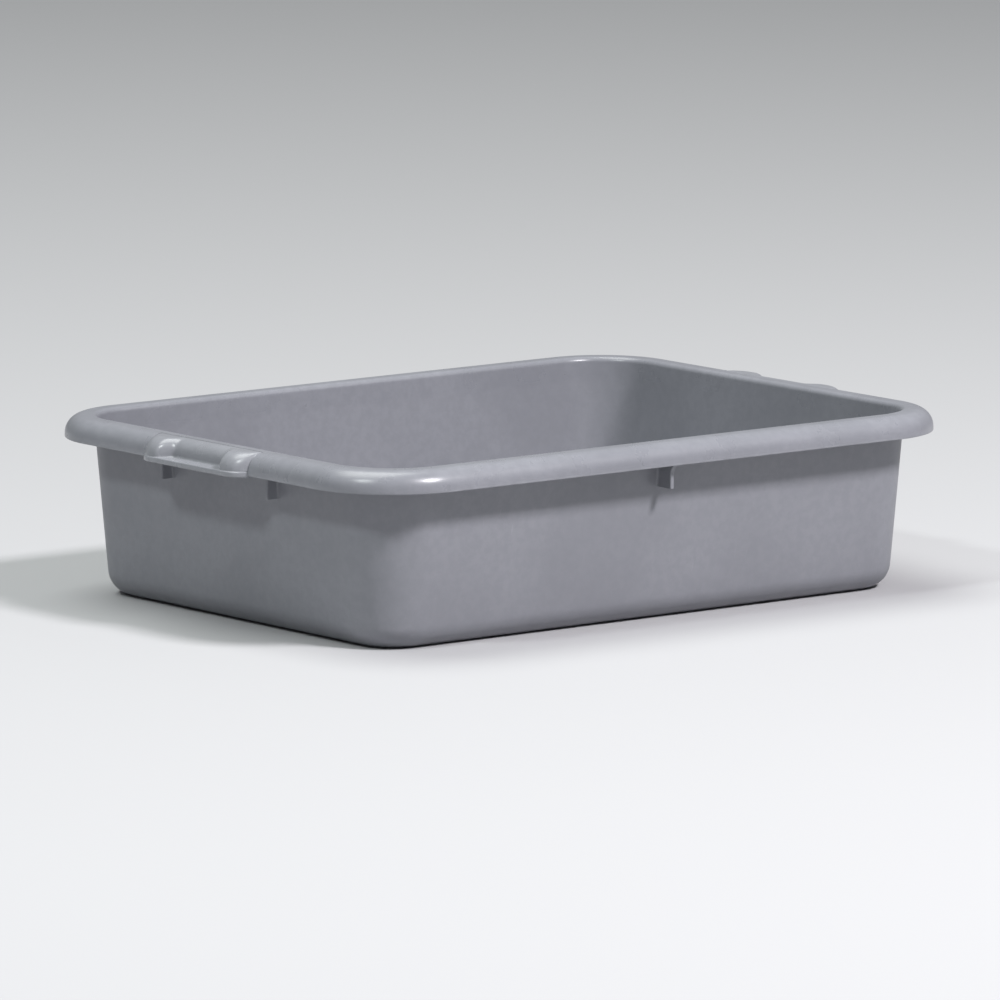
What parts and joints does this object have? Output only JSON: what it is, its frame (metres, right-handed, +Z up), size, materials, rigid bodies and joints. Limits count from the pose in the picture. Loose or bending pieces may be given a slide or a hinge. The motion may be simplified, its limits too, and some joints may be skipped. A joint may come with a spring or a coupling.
{
  "type": "nesting tote",
  "caption": "Open-topped rectangular nesting tote with sloping walls, a wide rolled rim, stacking ribs under the rim and a finger grip at each end.",
  "frame": {"origin": "middle of the flat underside, where the tote stands on the floor", "axes": "+X along the length towards the right grip, +Y across the width, +Z up through the open top"},
  "size_m": [0.546, 0.4, 0.127],
  "materials": {
    "tub_plastic": "satin moulded polypropylene, mid grey",
    "grip_plastic": "satin moulded polypropylene, slightly lighter grey"
  },
  "bodies": {
    "root": {"tub": "tub_plastic", "grip_left": "grip_plastic", "grip_right": "grip_plastic"}
  },
  "joints": []
}
